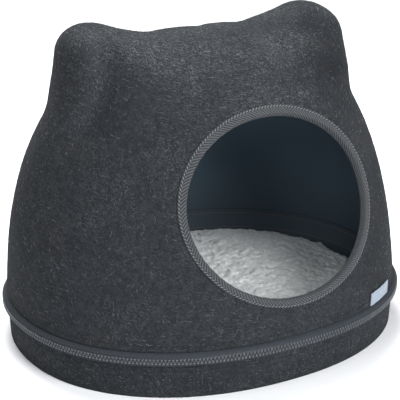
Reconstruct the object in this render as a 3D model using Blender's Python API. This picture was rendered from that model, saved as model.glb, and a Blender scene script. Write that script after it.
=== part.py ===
"""Felt cat cave: a moulded felt hood with two ears, zipped to a moulded felt tray, with a cushion.

Units are metres, +Z is up and the origin is on the floor, under the middle of the tray.
The entrance faces -Y, and the ears stand at -X and +X.
"""
import math

import bmesh
import bpy
import numpy as np

# ---------------------------------------------------------------- driving sizes
AROUND = 64                  # steps around every ring, so that neighbours stay parallel
GAP = 0.0003                 # clearance between two pieces that touch

RIM_X, RIM_Y = 0.2300, 0.1952    # half width and half depth over the closed zip
RIM_FULLNESS = 2.18              # 2 is an ellipse, and more is a fuller oval
TEETH_MIDDLE = 0.0439            # height of the zip's middle line above the floor
CHAIN_HEIGHT, CHAIN_DEPTH, CHAIN_CHAMFER = 0.0070, 0.0028, 0.0006
TAPE, TAPE_BEND = 0.0012, 0.0014         # thickness of the woven zip tape, and its round bends
TAPE_TURN, TAPE_END = 0.0018, 0.0090     # heights of its bend and its end inside the felt

FELT = 0.0050                    # thickness of the moulded felt
HOOD_INSET = 0.0056              # the hood's outer face, in from the zip's outer face
HOOD_EDGE = 0.0527               # height of the hood's lower edge
HOOD_RISE = 0.2875               # from the lower edge up to the crown
HOOD_TOP_FULLNESS = 1.50         # plan fullness at the crown; the edge has the rim's
SIDE_BELLY, SIDE_SHOULDER = 2.41, 2.92      # profile over the ears, in powers of height and width
FRONT_BELLY, FRONT_SHOULDER = 2.14, 1.60    # profile over the entrance
EAR_TIP, EAR_TIP_RADIUS = (0.1316, 0.2680), 0.0350      # x, and z above the hood's lower edge
EAR_ROOT, EAR_ROOT_RADIUS = (0.1136, 0.2353), 0.0523
EAR_STRETCH = 1.55               # the ears are this much longer from front to back
EAR_LEVEL = 0.190                # turns the body's own scale into a distance near the ears
EAR_BLEND_IN, EAR_BLEND_OUT = 0.0298, 0.0217    # rounding to the saddle and to the side wall
BLEND_START, BLEND_RUN = 0.045, 0.050    # where the rounding changes, inward of the ear's tip

DOOR_X, DOOR_RISE = 0.0094, 0.1142      # the entrance's middle, above the hood's lower edge
DOOR_TILT = 0.089                       # radians that the cut leans back
DOOR_WIDE, DOOR_TALL = 0.1093, 0.0902   # clear half width and half height inside the binding
DOOR_STEPS = 48
PLUG_OUT, PLUG_IN = 0.030, 0.040        # how far the entrance's cut reaches past the felt
BINDING = 0.0013                 # thickness of the entrance tape
BINDING_LEG = 0.0068             # how far the tape reaches over the felt on each face

TRAY_TOP = 0.0370                # height of the tray's upper edge
TRAY_TOP_INSET, TRAY_FOOT_INSET = 0.0056, 0.0085
TRAY_FOOT_RADIUS = 0.0040
ROUND_IN = 0.3                   # where a corner's middle point lies, in radii from its corner

CUSHION_INSET = 0.0150           # the cushion's side, in from the zip's outer face
CUSHION_SEAM, CUSHION_CROWN = 0.0280, 0.0500    # heights of its side and of its middle
CUSHION_TUCK, CUSHION_WAIST, CUSHION_TURN = 0.016, 0.004, 0.0015    # drawn in below, along, above
CUSHION_EDGE, CUSHION_FLAT = 2.4, 2.6    # how square its edge is, and how flat its middle

LABEL_START, LABEL_END = math.radians(-56.5), math.radians(-44.0)    # around the rim, from +X
LABEL_RISE, LABEL_THICK = 0.0145, 0.0010

SLIDER_LENGTH, SLIDER_PLATE, SLIDER_EDGE = 0.0130, 0.0016, 0.0005
SLIDER_LIP, SLIDER_GRIP = 0.0014, 0.0006    # its rails beside the teeth: height, and reach back
LOOP_BAR, LOOP_CLEAR, LOOP_WIDTH = 0.0010, 0.0019, 0.0024
LOOP_SINK, LOOP_BELOW, LOOP_ABOVE = 0.0004, 0.0034, 0.0030    # into the plate, and its two feet
PULL_LENGTH, PULL_WIDTH, PULL_THICK = 0.0260, 0.0070, 0.0012
PULL_RISE = 0.0009               # the pull's top above the teeth's middle line
WINDOW_BAR, WINDOW_TALL, WINDOW_WIDE = 0.0012, 0.0046, 0.0032    # the pull's hole for the loop

# ---------------------------------------------------------------- helpers
ANGLES = [2 * math.pi * i / AROUND for i in range(AROUND)]


def clear_scene():
    for item in list(bpy.data.objects):
        bpy.data.objects.remove(item, do_unlink=True)


def material(name, colour, roughness, metallic=0.0):
    made = bpy.data.materials.new(name)
    made.use_nodes = True
    shader = made.node_tree.nodes["Principled BSDF"]
    shader.inputs["Base Color"].default_value = (*colour, 1.0)
    shader.inputs["Roughness"].default_value = roughness
    shader.inputs["Metallic"].default_value = metallic
    return made


def add_mesh(name, points, faces, finish, smooth=True):
    mesh = bpy.data.meshes.new(name)
    mesh.from_pydata([tuple(p) for p in points], [], faces)
    work = bmesh.new()
    work.from_mesh(mesh)
    bmesh.ops.recalc_face_normals(work, faces=work.faces)
    work.to_mesh(mesh)
    work.free()
    if smooth:
        mesh.shade_smooth()
        mesh.set_sharp_from_angle(angle=math.radians(50))
    made = bpy.data.objects.new(name, mesh)
    bpy.context.scene.collection.objects.link(made)
    mesh.materials.append(finish)
    return made


def rim_point(angle, inset, shrink=1.0):
    """A point of the oval that lies `inset` inside the zip's outer face."""
    a, b = RIM_X - inset, RIM_Y - inset
    c, s = math.cos(angle), math.sin(angle)
    reach = (abs(c / a) ** RIM_FULLNESS + abs(s / b) ** RIM_FULLNESS) ** (-1 / RIM_FULLNESS)
    return shrink * reach * c, shrink * reach * s


def sweep(rows, closed):
    """Faces between rows of points; the last row joins the first where the section is closed."""
    count, wide = len(rows), len(rows[0])
    faces = []
    for i in range(count if closed else count - 1):
        k = (i + 1) % count
        for j in range(wide):
            n = (j + 1) % wide
            faces.append((i * wide + j, i * wide + n, k * wide + n, k * wide + j))
    return [p for row in rows for p in row], faces


def rim_band(name, section, finish):
    """A closed ring around the rim; its section is a list of (inset, height)."""
    rows = [[(*rim_point(t, inset), z) for t in ANGLES] for inset, z in section]
    return add_mesh(name, *sweep(rows, closed=True), finish)


def strip_section(path, thickness):
    """Both faces of a strip that follows `path`, a list of (inset, height)."""
    path = [np.array(p) for p in path]
    outer, inner = [], []
    for i, p in enumerate(path):
        run = path[min(i + 1, len(path) - 1)] - path[max(i - 1, 0)]
        side = np.array([-run[1], run[0]]) / np.linalg.norm(run) * thickness / 2
        outer.append(tuple(p + side))
        inner.append(tuple(p - side))
    return outer + inner[::-1]


# ---------------------------------------------------------------- the hood's form
def ear_value(points):
    """Distance to an ear: a cone with round ends, stretched from front to back."""
    root = np.array([EAR_ROOT[0], 0, EAR_ROOT[1]])
    axis = np.array([EAR_TIP[0], 0, EAR_TIP[1]]) - root
    rel = (points - root) / np.array([1, EAR_STRETCH, 1])
    length = np.linalg.norm(axis)
    along = rel @ axis / length
    across = np.sqrt(np.maximum((rel ** 2).sum(1) - along ** 2, 0))
    taper = (EAR_ROOT_RADIUS - EAR_TIP_RADIUS) / length
    lean = math.sqrt(1 - taper ** 2)
    # where the nearest point of the cone's side lies along the axis, kept between its two ends
    foot = np.clip((along - across * taper / lean) / length, 0, 1)
    radius = EAR_ROOT_RADIUS * (1 - foot) + EAR_TIP_RADIUS * foot
    return np.hypot(across, along - foot * length) - radius


def hood_value(points):
    """Below 0 inside the hood, 0 on its outer face; z is measured from its lower edge."""
    x, y, z = points[:, 0], points[:, 1], np.maximum(points[:, 2], 0)
    wide = np.abs(x) / (RIM_X - HOOD_INSET)
    deep = np.abs(y) / (RIM_Y - HOOD_INSET)
    side = wide ** 2 / np.maximum(wide ** 2 + deep ** 2, 1e-9)
    rise = z / HOOD_RISE
    fullness = RIM_FULLNESS + (HOOD_TOP_FULLNESS - RIM_FULLNESS) * np.clip(rise, 0, 1)
    reach = (wide ** fullness + deep ** fullness) ** (1 / fullness)
    belly = SIDE_BELLY * side + FRONT_BELLY * (1 - side)
    shoulder = SIDE_SHOULDER * side + FRONT_SHOULDER * (1 - side)
    body = ((reach ** shoulder + rise ** belly) ** (1 / shoulder) - 1) * EAR_LEVEL
    ear = ear_value(np.column_stack([np.abs(x), points[:, 1], points[:, 2]]))
    out = np.clip((np.abs(x) - EAR_TIP[0] + BLEND_START) / BLEND_RUN, 0, 1)
    out = out * out * (3 - 2 * out)
    blend = EAR_BLEND_IN * (1 - out) + EAR_BLEND_OUT * out
    mix = np.clip(0.5 + 0.5 * (ear - body) / blend, 0, 1)
    return ear * (1 - mix) + body * mix - blend * mix * (1 - mix)


def hood_hit(starts, directions, reach=0.36):
    """Where rays that start inside the hood leave it."""
    near = np.zeros(len(directions))
    far = np.full(len(directions), reach)
    for _ in range(30):
        middle = (near + far) / 2
        inside = hood_value(starts + directions * middle[:, None]) < 0
        near, far = np.where(inside, middle, near), np.where(inside, far, middle)
    return starts + directions * near[:, None]


def hood_normal(points, step=0.0005):
    slope = np.empty_like(points)
    for axis in range(3):
        shift = np.zeros(3)
        shift[axis] = step
        slope[:, axis] = hood_value(points + shift) - hood_value(points - shift)
    return slope / np.linalg.norm(slope, axis=1)[:, None]


def raised(points):
    """From the hood's own height to the height above the floor."""
    return points + np.array([0, 0, HOOD_EDGE])


# ---------------------------------------------------------------- the entrance's form
def door_ring(reach, steps=DOOR_STEPS):
    """Points of the hood's outer face around the entrance, `reach` outside its clear oval."""
    back = np.array([0, -math.cos(DOOR_TILT), math.sin(DOOR_TILT)])
    up = np.array([0, math.sin(DOOR_TILT), math.cos(DOOR_TILT)])
    turn = np.linspace(0, 2 * math.pi, steps, endpoint=False)
    starts = np.array([DOOR_X, 0, DOOR_RISE])
    starts = starts + np.outer(np.cos(turn) * (DOOR_WIDE + reach), [1, 0, 0])
    starts = starts + np.outer(np.sin(turn) * (DOOR_TALL + reach), up)
    return hood_hit(starts, np.tile(back, (steps, 1)))


def door_section_row(reach, depth):
    """The ring at `reach`, sunk `depth` under the hood's outer face."""
    points = door_ring(reach)
    return raised(points - hood_normal(points) * depth)


# ---------------------------------------------------------------- sub-parts
def build_hood(finish):
    rows = []
    low_rows, dome_rows, middle = 4, 21, 0.060
    flat = np.array([(math.cos(t), math.sin(t), 0.0) for t in ANGLES])
    for i in range(low_rows):
        rows.append(hood_hit(np.array([0, 0, middle * i / low_rows]), flat))
    for i in range(dome_rows):
        lift = math.pi / 2 * i / dome_rows
        directions = flat * math.cos(lift) + np.array([0, 0, math.sin(lift)])
        rows.append(hood_hit(np.array([0, 0, middle]), directions))
    points, faces = sweep([raised(row) for row in rows], closed=False)
    crown = hood_hit(np.array([0, 0, middle]), np.array([[0.0, 0.0, 1.0]]))
    points.append(raised(crown)[0])
    last = len(rows) * AROUND - AROUND
    faces += [(last + j, last + (j + 1) % AROUND, len(points) - 1) for j in range(AROUND)]
    hood = add_mesh("dome", points, faces, finish)
    wall = hood.modifiers.new("felt thickness", "SOLIDIFY")
    wall.thickness, wall.offset = FELT, -1
    cut = hood.modifiers.new("entrance", "BOOLEAN")
    cut.operation, cut.solver, cut.object = "DIFFERENCE", "EXACT", build_door_cutter()
    return hood


def build_door_cutter():
    """A plug whose side stands square to the felt all the way round."""
    edge = BINDING + GAP
    outer, inner = door_section_row(edge, -PLUG_OUT), door_section_row(edge, PLUG_IN)
    points = list(outer) + list(inner) + [outer.mean(0), inner.mean(0)]
    faces = sweep([outer, inner], closed=False)[1]
    for j in range(DOOR_STEPS):
        n = (j + 1) % DOOR_STEPS
        faces.append((n, j, 2 * DOOR_STEPS))
        faces.append((DOOR_STEPS + j, DOOR_STEPS + n, 2 * DOOR_STEPS + 1))
    cutter = add_mesh("entrance cutter", points, faces, None)
    cutter.hide_render, cutter.display_type = True, "WIRE"
    return cutter


def build_binding(finish):
    """The tape folded over the felt's cut edge: two legs and a rounded fold."""
    edge = BINDING + GAP
    front, back = 2 * GAP, FELT + 2 * GAP
    rim = BINDING * 0.6
    section = [
        (edge + BINDING_LEG, -front), (edge + BINDING_LEG, -front - BINDING),
        (edge, -front - BINDING), (rim * 0.4, -front - rim), (0.0, FELT * 0.2),
        (0.0, FELT * 0.8), (rim * 0.4, back + rim), (edge, back + BINDING),
        (edge + BINDING_LEG, back + BINDING), (edge + BINDING_LEG, back),
        (edge, back), (BINDING, FELT * 0.9), (BINDING, FELT * 0.1), (edge, -front),
    ]
    rows = [door_section_row(reach, depth) for reach, depth in section]
    return add_mesh("entrance_binding", *sweep(rows, closed=True), finish)


def tape_path(side):
    """The zip tape's middle line, from the teeth round the felt's edge to its inner face."""
    felt_edge = HOOD_EDGE if side > 0 else TRAY_TOP
    start = TEETH_MIDDLE + side * (CHAIN_HEIGHT / 2 + TAPE / 2 + GAP)
    under = felt_edge - side * (TAPE / 2 + 2 * GAP)
    inside = HOOD_INSET + FELT + TAPE
    wall_slope = 0 if side > 0 else (TRAY_FOOT_INSET - TRAY_TOP_INSET) / (TRAY_TOP - TRAY_FOOT_RADIUS)
    return [
        (CHAIN_DEPTH / 2, start), (CHAIN_DEPTH * 0.9, start + side * TAPE_BEND),
        (HOOD_INSET, under - side * GAP), (inside - TAPE_BEND, under),
        (inside - GAP / 3, under + side * TAPE_BEND / 3),
        (inside + GAP + TAPE_TURN * wall_slope, under + side * TAPE_TURN),
        (inside + GAP + TAPE_END * wall_slope, under + side * TAPE_END),
    ]


def build_tape(name, side, finish):
    return rim_band(name, strip_section(tape_path(side), TAPE), finish)


def build_chain(finish):
    half, chamfer = CHAIN_HEIGHT / 2, CHAIN_CHAMFER
    section = [
        (chamfer, TEETH_MIDDLE - half), (0, TEETH_MIDDLE - half + chamfer),
        (0, TEETH_MIDDLE + half - chamfer), (chamfer, TEETH_MIDDLE + half),
        (CHAIN_DEPTH, TEETH_MIDDLE + half), (CHAIN_DEPTH, TEETH_MIDDLE - half),
    ]
    return rim_band("zip_chain", section, finish)


def dish(name, outline, finish):
    """A solid turned round the oval from (inset, height, shrink) rows, closed at both middles."""
    rows = [[(*rim_point(t, inset, shrink), z) for t in ANGLES] for inset, z, shrink in outline]
    points, faces = sweep(rows, closed=False)
    for row, height in ((0, outline[0][1]), (len(rows) - 1, outline[-1][1])):
        points.append((0.0, 0.0, height))
        for j in range(AROUND):
            faces.append((row * AROUND + j, row * AROUND + (j + 1) % AROUND, len(points) - 1))
    return add_mesh(name, points, faces, finish)


def build_tray(finish):
    foot, radius = TRAY_FOOT_INSET, TRAY_FOOT_RADIUS
    outline = [(foot, 0.0, shrink) for shrink in (0.33, 0.66)]
    bend = radius * ROUND_IN
    outline += [(foot + radius, 0.0, 1), (foot + bend, bend, 1), (foot, radius, 1)]
    outline += [(TRAY_TOP_INSET, TRAY_TOP, 1), (TRAY_TOP_INSET + FELT, TRAY_TOP, 1)]
    outline += [(foot + FELT, FELT + radius, 1), (foot + FELT + bend, FELT + bend, 1)]
    outline += [(foot + FELT + radius, FELT, 1)]
    outline += [(foot, FELT, shrink) for shrink in (0.66, 0.33)]
    return dish("base_tray", outline, finish)


def build_cushion(finish):
    """A filled pad: flat below, drawn in at its side seam, crowned on top."""
    low, inset = FELT + GAP, CUSHION_INSET
    belly = CUSHION_SEAM - low
    outline = [(inset, low, 0.45), (inset + CUSHION_TUCK, low, 1)]
    outline += [(inset + CUSHION_WAIST, low + belly * 0.35, 1), (inset, low + belly * 0.75, 1)]
    outline += [(inset + CUSHION_TURN, CUSHION_SEAM, 1)]
    for step in (0.06, 0.16, 0.30, 0.46, 0.64, 0.82):
        rise = (1 - (1 - step) ** CUSHION_FLAT) ** (1 / CUSHION_EDGE)
        height = CUSHION_SEAM + (CUSHION_CROWN - CUSHION_SEAM) * rise
        outline.append((inset, height, 1 - step))
    outline.append((inset, CUSHION_CROWN, 0.08))
    return dish("cushion", outline, finish)


def build_label(finish):
    """A blank tab of folded ribbon on the hood's outer face, its foot at the felt's edge."""
    near, low = HOOD_INSET - GAP, HOOD_EDGE
    section = [
        (near, low), (near - LABEL_THICK, low), (near - LABEL_THICK, low + LABEL_RISE),
        (near, low + LABEL_RISE),
    ]
    rows = []
    for t in np.linspace(LABEL_START, LABEL_END, 9):
        rows.append([(*rim_point(t, inset), z) for inset, z in section])
    points, faces = sweep(rows, closed=False)
    last = len(points) - len(section)
    faces += [(0, 1, 2, 3), (last, last + 1, last + 2, last + 3)]
    return add_mesh("label_tab", points, faces, finish, smooth=False)


def extrude_profile(name, outline, half_width, finish):
    """A solid of constant (y, z) outline, from -half_width to +half_width along X."""
    rows = [[(x, y, z) for y, z in outline] for x in (-half_width, half_width)]
    points, faces = sweep(rows, closed=False)
    count = len(outline)
    faces += [tuple(range(count)), tuple(range(count, 2 * count))]
    return add_mesh(name, points, faces, finish, smooth=False)


def join_solids(base, tool, operation):
    change = base.modifiers.new(operation.lower(), "BOOLEAN")
    change.operation, change.solver, change.object = operation, "EXACT", tool
    tool.hide_render, tool.display_type = True, "WIRE"


def build_slider(finish):
    """A channel over the teeth at the back, with the loop that the pull hangs from."""
    face = RIM_Y + GAP
    plate = face + SLIDER_PLATE
    low = TEETH_MIDDLE - CHAIN_HEIGHT / 2 - GAP
    high = TEETH_MIDDLE + CHAIN_HEIGHT / 2 + GAP
    foot, top, edge = low - SLIDER_LIP, high + SLIDER_LIP, SLIDER_EDGE
    back = face - SLIDER_GRIP
    channel = [
        (back, foot), (plate - edge, foot), (plate, foot + edge), (plate, top - edge),
        (plate - edge, top), (back, top), (back, high), (face, high), (face, low), (back, low),
    ]
    slider = extrude_profile("zip_slider", channel, SLIDER_LENGTH / 2, finish)
    bar, sunk, inner = LOOP_BAR, plate - LOOP_SINK, plate + LOOP_CLEAR
    bottom, top = TEETH_MIDDLE - LOOP_BELOW, TEETH_MIDDLE + LOOP_ABOVE
    loop = [
        (sunk, bottom), (inner + bar, bottom + bar), (inner + bar, top - bar), (sunk, top),
        (sunk, top - bar), (inner, top - bar * 1.6), (inner, bottom + bar * 1.6),
        (sunk, bottom + bar),
    ]
    join_solids(slider, extrude_profile("slider loop", loop, LOOP_WIDTH / 2, finish), "UNION")
    return slider


def build_pull(finish):
    """A flat pull that hangs from the slider's loop; its top bar lies inside the loop."""
    near = RIM_Y + GAP + SLIDER_PLATE + GAP
    far = near + PULL_THICK
    top = TEETH_MIDDLE + PULL_RISE
    low = top - PULL_LENGTH
    plate = [(near, low), (far, low), (far, top), (near, top)]
    pull = extrude_profile("zip_pull", plate, PULL_WIDTH / 2, finish)
    start, end = near - PULL_THICK, far + PULL_THICK
    upper = top - WINDOW_BAR
    lower = upper - WINDOW_TALL
    window = [(start, lower), (end, lower), (end, upper), (start, upper)]
    join_solids(pull, extrude_profile("pull window", window, WINDOW_WIDE / 2, finish), "DIFFERENCE")
    return pull


# ---------------------------------------------------------------- the whole cave
def build_cave():
    clear_scene()
    felt = material("charcoal felt", (0.045, 0.048, 0.052), 0.95)
    build_hood(felt)
    build_tray(felt)
    build_binding(material("grey herringbone tape", (0.13, 0.13, 0.135), 0.85))
    zip_cloth = material("slate zip tape", (0.055, 0.058, 0.066), 0.8)
    build_tape("zip_tape_upper", 1, zip_cloth)
    build_tape("zip_tape_lower", -1, zip_cloth)
    build_chain(material("grey moulded teeth", (0.15, 0.155, 0.165), 0.45))
    build_cushion(material("pale fleece", (0.62, 0.61, 0.59), 1.0))
    build_label(material("pale blue ribbon", (0.50, 0.60, 0.70), 0.6))
    metal = material("dark slider metal", (0.10, 0.10, 0.11), 0.4, 0.9)
    build_slider(metal)
    build_pull(metal)


build_cave()
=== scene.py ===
# %% [markdown]
# # A moulded felt cat cave
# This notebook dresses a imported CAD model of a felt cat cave: a hood with two ears, zipped to
# a shallow tray, with a loose fleece cushion inside. The CAD solids fix every size and place.
# Each cell first says what the piece is on the real bed, and then makes it.

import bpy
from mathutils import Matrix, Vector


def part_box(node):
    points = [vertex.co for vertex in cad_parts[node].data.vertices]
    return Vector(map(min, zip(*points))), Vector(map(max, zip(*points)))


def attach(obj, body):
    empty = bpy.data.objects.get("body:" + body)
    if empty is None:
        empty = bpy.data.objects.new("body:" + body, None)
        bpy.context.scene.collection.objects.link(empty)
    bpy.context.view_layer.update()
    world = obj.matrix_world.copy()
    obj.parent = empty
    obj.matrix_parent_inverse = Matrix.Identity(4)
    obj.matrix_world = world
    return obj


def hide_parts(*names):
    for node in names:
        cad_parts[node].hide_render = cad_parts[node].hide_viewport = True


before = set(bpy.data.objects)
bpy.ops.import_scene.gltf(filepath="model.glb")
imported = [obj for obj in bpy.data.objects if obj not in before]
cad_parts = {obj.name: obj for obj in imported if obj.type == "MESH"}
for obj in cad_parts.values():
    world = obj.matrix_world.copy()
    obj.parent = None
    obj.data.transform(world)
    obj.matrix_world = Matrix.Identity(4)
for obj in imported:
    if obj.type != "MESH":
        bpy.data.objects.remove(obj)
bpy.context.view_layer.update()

# %% Bring in the tools
import math

import bpy
import numpy as np
from mathutils import Vector, noise

# %% [markdown]
# ## Sizes
# The CAD model knows where each solid lies, so the big sizes are read from it. The rest are the
# maker's own: how thick the felt is, how wide the tape is folded, how far apart the teeth are.

# %% Read the big sizes off the CAD model
chain_low, chain_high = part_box("zip_chain")
cushion_low, cushion_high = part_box("cushion")
RIM_X, RIM_Y = chain_high.x, chain_high.y
TEETH_MIDDLE = (chain_low.z + chain_high.z) / 2
HOOD_EDGE, TRAY_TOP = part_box("dome")[0].z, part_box("base_tray")[1].z
print(f"rim {RIM_X * 2:.3f} x {RIM_Y * 2:.3f} m, teeth at {TEETH_MIDDLE:.4f} m")

# %% Name the maker's sizes
GAP = 0.0003
FELT, TAPE, BINDING = 0.0050, 0.0012, 0.0013
RIM_FULLNESS = 2.18
HOOD_INSET, CHAIN_DEPTH = 0.0056, 0.0028
TEETH_SHARE = 0.87
CHAIN_HALF = (chain_high.z - chain_low.z) / 2 * TEETH_SHARE
TRAY_FOOT_INSET, TRAY_FOOT_RADIUS = 0.0074, 0.0020
print(f"felt {FELT * 1000:.1f} mm thick, teeth {CHAIN_HALF * 2000:.1f} mm high in all")

# %% [markdown]
# ## Small helpers
# Blender's operators act on whatever is selected, so every step begins with nothing selected.
# Points are moved in whole arrays, which is the quick way to lay a mesh on a formula.

# %% Helpers for selecting, shaping and applying
def deselect():
    if bpy.context.object and bpy.context.object.mode != "OBJECT":
        bpy.ops.object.mode_set(mode="OBJECT")
    bpy.ops.object.select_all(action="DESELECT")


def pick(piece):
    deselect()
    piece.select_set(True)
    bpy.context.view_layer.objects.active = piece
    return piece


def named(name):
    """Names the primitive that an operator has just added, and makes its place its own."""
    piece = bpy.context.object
    piece.name = piece.data.name = name
    bpy.ops.object.transform_apply(location=True, rotation=True, scale=True)
    return piece


def read(things, field, width=3):
    """A field of every point, face or corner, one row for each."""
    flat = np.empty(len(things) * width)
    things.foreach_get(field, flat)
    return flat.reshape(-1, width)


def points_of(piece):
    return read(piece.data.vertices, "co")


def place_points(piece, points):
    piece.data.vertices.foreach_set("co", np.asarray(points, float).ravel())
    piece.data.update()


def edit(piece, *steps):
    """Runs mesh operators on the whole piece; each step is (operator, settings)."""
    pick(piece)
    bpy.ops.object.mode_set(mode="EDIT")
    bpy.ops.mesh.select_all(action="SELECT")
    for operator, settings in steps:
        operator(**settings)
    bpy.ops.object.mode_set(mode="OBJECT")


def pull_edge(piece, rows, step):
    """Selects the piece's open edge and pulls it out, once for each row."""
    pull = (bpy.ops.mesh.extrude_edges_move, dict(TRANSFORM_OT_translate={"value": step}))
    edit(piece, (bpy.ops.mesh.region_to_loop, {}), *[pull] * rows)


def apply_all(piece):
    pick(piece)
    for modifier in list(piece.modifiers):
        bpy.ops.object.modifier_apply(modifier=modifier.name)


def select_faces(piece, test):
    """Leaves the piece in edit mode, with only the faces that pass `test` selected."""
    pick(piece)
    bpy.ops.object.mode_set(mode="EDIT")
    bpy.ops.mesh.select_all(action="DESELECT")
    bpy.ops.mesh.select_mode(type="FACE")
    bpy.ops.object.mode_set(mode="OBJECT")
    for face in piece.data.polygons:
        face.select = bool(test(face))
    bpy.ops.object.mode_set(mode="EDIT")


def smooth(piece, angle):
    pick(piece)
    bpy.ops.object.shade_smooth_by_angle(angle=math.radians(angle))


def thicken(piece, thickness, offset=0.0, angle=60, **settings):
    """Turns a skin into cloth: offset -1 keeps its outer face, 0 its middle."""
    cloth = piece.modifiers.new("cloth thickness", "SOLIDIFY")
    cloth.thickness, cloth.offset = thickness, offset
    for name, value in settings.items():
        setattr(cloth, name, value)
    apply_all(piece)
    smooth(piece, angle)


MERGE = (bpy.ops.mesh.remove_doubles, {"threshold": 0.00001})
FACE_OUT = (bpy.ops.mesh.normals_make_consistent, {"inside": False})
print("helpers ready")

# %% [markdown]
# Arrays of points need a few helpers too: unit directions, and how far along a line each point
# lies. A new piece is a mesh with an object of its own, put into the scene's collection.

# %% Helpers for arrays and for new pieces
def unit(rows):
    """Every row of an array, brought to a length of 1."""
    return rows / np.linalg.norm(rows, axis=-1, keepdims=True)


def steps_along(points):
    return np.linalg.norm(np.diff(points, axis=0), axis=1)


def walked(points):
    """How far along the line through the points each one lies."""
    return np.concatenate([[0], np.cumsum(steps_along(points))])


def even_shares(count, start=0.5):
    return (np.arange(count) + start) / count


def new_piece(name, mesh):
    piece = bpy.data.objects.new(name, mesh)
    bpy.context.scene.collection.objects.link(piece)
    return piece


def copied_node(node, name):
    """A piece with a CAD node's mesh, its loose triangles joined at their corners."""
    piece = new_piece(name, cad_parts[node].data.copy())
    edit(piece, MERGE)
    return piece


def joined(name, first, *others):
    """Joins the other pieces into the first."""
    pick(first)
    for piece in others:
        piece.select_set(True)
    bpy.ops.object.join()
    whole = bpy.context.object
    whole.name = whole.data.name = name
    return whole


def store(mesh, name, values):
    """Keeps a value on every point, where a material can read it by its name."""
    mesh.attributes.new(name, "FLOAT", "POINT").data.foreach_set("value", values.astype(np.float32))


print("array helpers ready")

# %% [markdown]
# ## The form of the rim
# Seen from above, the bed is a full oval, a little squarer than an ellipse. Teeth and stitches
# are spaced evenly along it, so a table of arc length turns a share of the way round, from 0
# to 1, into an angle. Share 0 is the middle of the back, where the slider is parked.

# %% The oval, evenly walked
def rim_oval(angle, inset):
    a, b = RIM_X - inset, RIM_Y - inset
    c, s = np.cos(angle), np.sin(angle)
    reach = (np.abs(c / a) ** RIM_FULLNESS + np.abs(s / b) ** RIM_FULLNESS) ** (-1 / RIM_FULLNESS)
    return np.stack([reach * c, reach * s], -1)


def at_rim(angle, inset, height):
    """Points so far inside the rim's oval, at a height above the floor."""
    return np.column_stack([rim_oval(angle, inset), np.broadcast_to(height, len(angle))])


def rim_outward(angle):
    """The level direction that faces away from the bed."""
    at = rim_oval(angle, 0.0)
    slope = np.sign(at) * np.abs(at / [RIM_X, RIM_Y]) ** (RIM_FULLNESS - 1) / [RIM_X, RIM_Y]
    return np.concatenate([unit(slope), np.zeros((*slope.shape[:-1], 1))], -1)


walk_angles = np.linspace(0.5 * math.pi, 2.5 * math.pi, 8001)
walk = walked(rim_oval(walk_angles, 0.0))
RIM_LENGTH = walk[-1]


def rim_angle(share):
    return np.interp(np.asarray(share) * RIM_LENGTH, walk, walk_angles)


print(f"the zip is {RIM_LENGTH:.3f} m long")

# %% [markdown]
# ## The form of the hood
# The hood is one blank of felt, pressed hot over a mould, so its form is a smooth one that
# can be written down: a domed oval body, and two round-tipped cones for the ears, melted
# into it with a soft corner. The value below is negative inside and 0 on the outer face, and
# a ray that starts inside finds the felt by halving its way to that 0.

# %% The mould's sizes
HOOD_RISE, HOOD_TOP_FULLNESS = 0.2875, 1.50
SIDE_BELLY, SIDE_SHOULDER = 2.41, 2.92
FRONT_BELLY, FRONT_SHOULDER = 2.14, 1.60
EAR_TIP, EAR_TIP_RADIUS = (0.1316, 0.2680), 0.0350
EAR_ROOT, EAR_ROOT_RADIUS = (0.1136, 0.2353), 0.0523
EAR_STRETCH, BODY_SCALE = 1.55, 0.190
EAR_BLEND_IN, EAR_BLEND_OUT = 0.0298, 0.0217
BLEND_START, BLEND_RUN = 0.045, 0.050
RAY_REACH, HALVINGS, NORMAL_STEP = 0.36, 26, 0.0008
print("the ears rise", round(EAR_TIP[1] + EAR_TIP_RADIUS - HOOD_RISE, 4), "m over the crown")

# %% The mould as a formula
def ear_value(points):
    root = np.array([EAR_ROOT[0], 0, EAR_ROOT[1]])
    axis = np.array([EAR_TIP[0], 0, EAR_TIP[1]]) - root
    rel = (points - root) / np.array([1, EAR_STRETCH, 1])
    length = np.linalg.norm(axis)
    along = rel @ axis / length
    across = np.sqrt(np.maximum((rel ** 2).sum(1) - along ** 2, 0))
    taper = (EAR_ROOT_RADIUS - EAR_TIP_RADIUS) / length
    lean = math.sqrt(1 - taper ** 2)
    foot = np.clip((along - across * taper / lean) / length, 0, 1)
    return np.hypot(across, along - foot * length) - (
        EAR_ROOT_RADIUS * (1 - foot) + EAR_TIP_RADIUS * foot)


def mould_value(points):
    """Below 0 inside the hood and 0 on its outer face; z counts from the hood's lower edge."""
    x, y, z = points[:, 0], points[:, 1], np.maximum(points[:, 2], 0)
    wide = np.abs(x) / (RIM_X - HOOD_INSET)
    deep = np.abs(y) / (RIM_Y - HOOD_INSET)
    side = wide ** 2 / np.maximum(wide ** 2 + deep ** 2, 1e-9)
    rise = z / HOOD_RISE
    fullness = RIM_FULLNESS + (HOOD_TOP_FULLNESS - RIM_FULLNESS) * np.clip(rise, 0, 1)
    reach = (wide ** fullness + deep ** fullness) ** (1 / fullness)
    belly = SIDE_BELLY * side + FRONT_BELLY * (1 - side)
    shoulder = SIDE_SHOULDER * side + FRONT_SHOULDER * (1 - side)
    body = ((reach ** shoulder + rise ** belly) ** (1 / shoulder) - 1) * BODY_SCALE
    ear = ear_value(np.column_stack([np.abs(x), points[:, 1], points[:, 2]]))
    out = np.clip((np.abs(x) - EAR_TIP[0] + BLEND_START) / BLEND_RUN, 0, 1)
    out = out * out * (3 - 2 * out)
    blend = EAR_BLEND_IN * (1 - out) + EAR_BLEND_OUT * out
    mix = np.clip(0.5 + 0.5 * (ear - body) / blend, 0, 1)
    return ear * (1 - mix) + body * mix - blend * mix * (1 - mix)


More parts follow.
